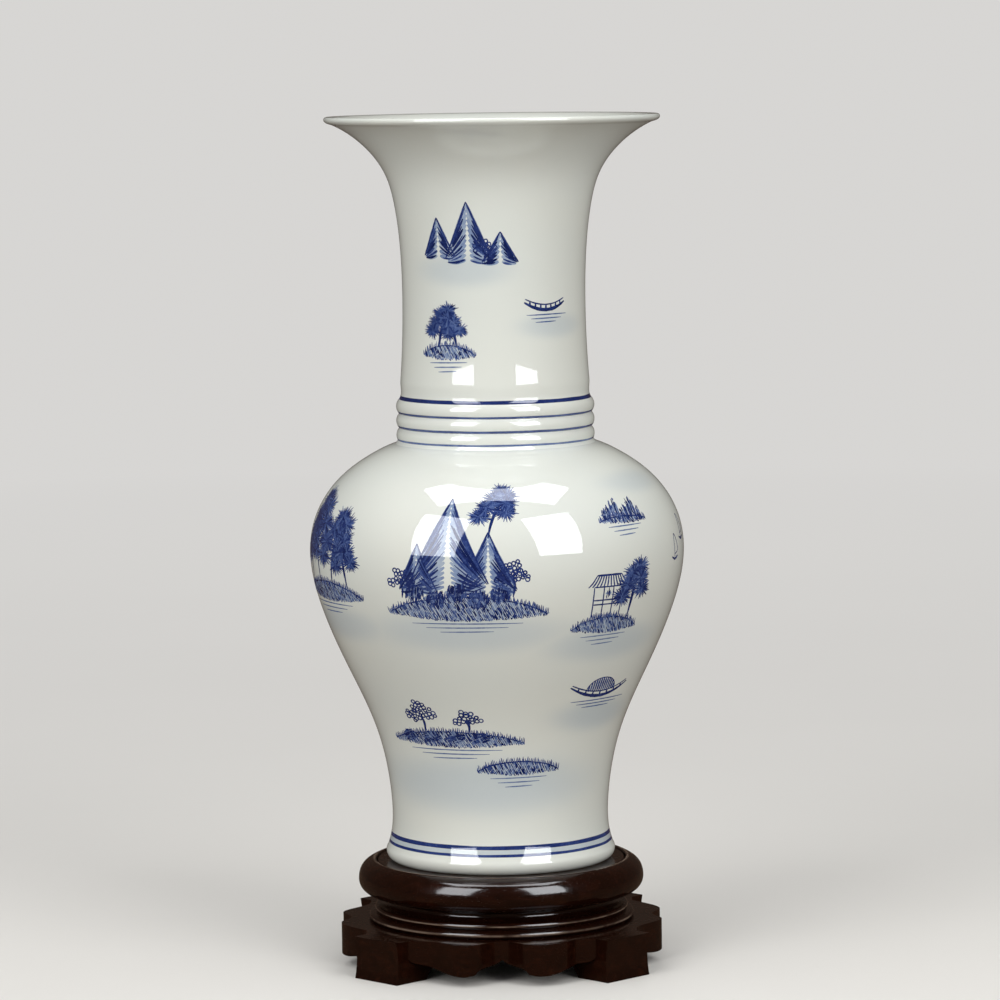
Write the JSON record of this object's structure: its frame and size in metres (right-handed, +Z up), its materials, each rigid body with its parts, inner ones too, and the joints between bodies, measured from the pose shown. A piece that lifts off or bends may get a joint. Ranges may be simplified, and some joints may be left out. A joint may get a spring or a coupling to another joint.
{
  "type": "vase on stand",
  "caption": "Baluster vase with a flared trumpet mouth, slim neck, ringed collar and landscape painting, resting on a low round footed wooden stand.",
  "frame": {"origin": "on the table under the middle of the stand", "axes": "+Z up along the vase's axis, front of the painting and of the stand towards -Y, +X to the right seen from the front"},
  "size_m": [0.1878, 0.1878, 0.4252],
  "materials": {
    "porcelain": "clear gloss glaze over cobalt-blue painting",
    "dark_wood": "dark red-brown stain under gloss lacquer",
    "plain_wood": "bare turned dowel",
    "screw_steel": "plain steel"
  },
  "bodies": {
    "stand": {"top_ring": "dark_wood", "seat_panel": "dark_wood", "waist_ring": "dark_wood", "bead_board": "dark_wood", "leg_front_left": "dark_wood", "leg_front_right": "dark_wood", "leg_rear_left": "dark_wood", "leg_rear_right": "dark_wood", "apron_front": "dark_wood", "apron_rear": "dark_wood", "apron_left": "dark_wood", "apron_right": "dark_wood", "leg_dowels": "plain_wood", "stand_screws": "screw_steel"},
    "vase": {"vase": "porcelain"}
  },
  "joints": [
    {"name": "vase_lift", "type": "slide", "parent": "stand", "child": "vase", "axis": [0, 0, 1], "range_m": [0, 0.06]}
  ]
}
